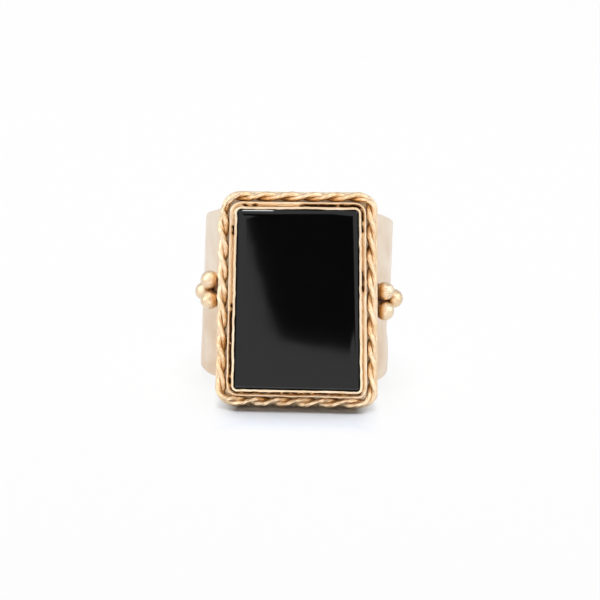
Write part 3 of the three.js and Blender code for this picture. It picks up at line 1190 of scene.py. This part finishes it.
floor_shape = bmesh.new()
bmesh.ops.create_grid(floor_shape, x_segments=2, y_segments=2, size=FLOOR_SIZE / 2)
floor_turn = Matrix((across, forwards, upright)).transposed().to_4x4()
floor_place = Matrix.Translation(left_foot) @ floor_turn
bmesh.ops.transform(floor_shape, matrix=floor_place, verts=floor_shape.verts)
floor = make_object("studio_floor", floor_shape, table_finish.material)
print("floor, m:", FLOOR_SIZE)

# %% [markdown]
# ## Light
#
# Gold shows what surrounds it, so the metal needs a bright studio on all sides, a little dimmer
# overhead so that flat tops don't burn out. The paper under the ring needs something else: light
# from straight above, which leaves a short deep shadow under the head and none beside it. The
# Light Path node tells the two apart: its diffuse depth is above zero only on a ray that has left
# a matt surface. The lamps come in two kinds as well: one large overhead lamp for the paper, and
# four for the metal's highlights. The smallest is a reflector just in front of the head's foot,
# which keeps the rope there from showing only its own shadow.

# %% Studio
STUDIO_FOR_METAL = 0.98
STUDIO_OVERHEAD = 0.68
STUDIO_FOR_PAPER = 0.03

world = bpy.data.worlds.new("studio")
world.use_nodes = True
world_nodes = world.node_tree.nodes
background = world_nodes["Background"]
ray = world_nodes.new("ShaderNodeLightPath")
brightness = world_nodes.new("ShaderNodeMix")
direction = world_nodes.new("ShaderNodeTexCoord")
skyward = world_nodes.new("ShaderNodeSeparateXYZ")
fall = world_nodes.new("ShaderNodeMapRange")
fall_values = {"From Min": 0.0, "From Max": 1.0, "To Min": STUDIO_FOR_METAL, "To Max": STUDIO_OVERHEAD}
for name, value in fall_values.items():
    fall.inputs[name].default_value = value
brightness.inputs["B"].default_value = STUDIO_FOR_PAPER
background.inputs["Color"].default_value = (1.0, 1.0, 1.0, 1.0)
for start, end in (
    (direction.outputs["Generated"], skyward.inputs["Vector"]),
    (skyward.outputs["Z"], fall.inputs["Value"]),
    (fall.outputs["Result"], brightness.inputs["A"]),
    (ray.outputs["Diffuse Depth"], brightness.inputs["Factor"]),
    (brightness.outputs["Result"], background.inputs["Strength"]),
):
    world.node_tree.links.new(start, end)
bpy.context.scene.world = world
bpy.context.scene.view_settings.view_transform = "Standard"

# %% Lamps
LAMP_DISTANCE = 0.6
LAMP_LEAN = 0.17


def add_softbox(name, spot, width, height, power):
    """A rectangular area light that looks at the ring."""
    data = bpy.data.lights.new(name, "AREA")
    data.shape = "RECTANGLE"
    data.size = width
    data.size_y = height
    data.energy = power
    lamp = bpy.data.objects.new(name, data)
    facing = Vector(spot).to_track_quat("Z", "Y").to_matrix().to_4x4()
    lamp.matrix_world = Matrix.Translation(spot) @ facing
    bpy.context.scene.collection.objects.link(lamp)
    return lamp


paper_lamp_spot = LAMP_DISTANCE * (upright + LAMP_LEAN * forwards).normalized()
paper_lamp = add_softbox("paper_softbox", paper_lamp_spot, 0.24, 0.24, 4.2)
paper_lamp.visible_glossy = False
metal_lamps = (
    ("left_softbox", Vector((-0.52, -0.34, 0.30)), 0.16, 0.42, 1.3),
    ("right_softbox", Vector((0.52, -0.34, 0.30)), 0.16, 0.42, 1.3),
    ("overhead_strip", Vector((-0.10, -0.25, 0.55)), 0.30, 0.12, 0.55),
    ("low_reflector", Vector((0.0, -0.046, -0.0195)), 0.060, 0.007, 0.0060),
)
for name, spot, width, height, power in metal_lamps:
    lamp = add_softbox(name, spot, width, height, power)
    lamp.visible_diffuse = False
    lamp.visible_camera = False
print(1 + len(metal_lamps), "lamps")

# %% [markdown]
# ## The dark card
#
# A black polished stone looks black only if it has something dark to reflect. A felt card hangs
# in front of the ring beside the camera, and its soft lower left corner is the line that crosses
# the stone. It shows in reflections only. It is a rounded slab like the head plate, sheared so
# that its edges run askew.

# %% Dark card
CARD_LOW = Vector((0, -400, 0)) * MM
CARD_HIGH = Vector((42, -399, 62)) * MM
CARD_CORNER = 3.6 * MM
CARD_EDGE = 0.2 * MM
CARD_LEAN = -0.29
CARD_DROP = -0.126
CARD_FOOT = Vector((-0.5, 0, -31.4)) * MM

felt = Finish("dark_felt", Base_Color=(0.004, 0.004, 0.004, 1.0), Roughness=1.0, Specular_IOR_Level=0.0)
card_shape = rounded_slab(CARD_LOW, CARD_HIGH, CARD_CORNER, CARD_EDGE)
shear = Matrix(((1, 0, CARD_LEAN, 0), (0, 1, 0, 0), (CARD_DROP, 0, 1, 0), (0, 0, 0, 1)))
card_place = Matrix.Translation(CARD_FOOT) @ shear
bmesh.ops.transform(card_shape, matrix=card_place, verts=card_shape.verts)
card = make_object("dark_card", card_shape, felt.material)
card.visible_camera = False
card.visible_diffuse = False
card.visible_shadow = False
print("card, mm:", [round(size / MM) for size in card.dimensions])
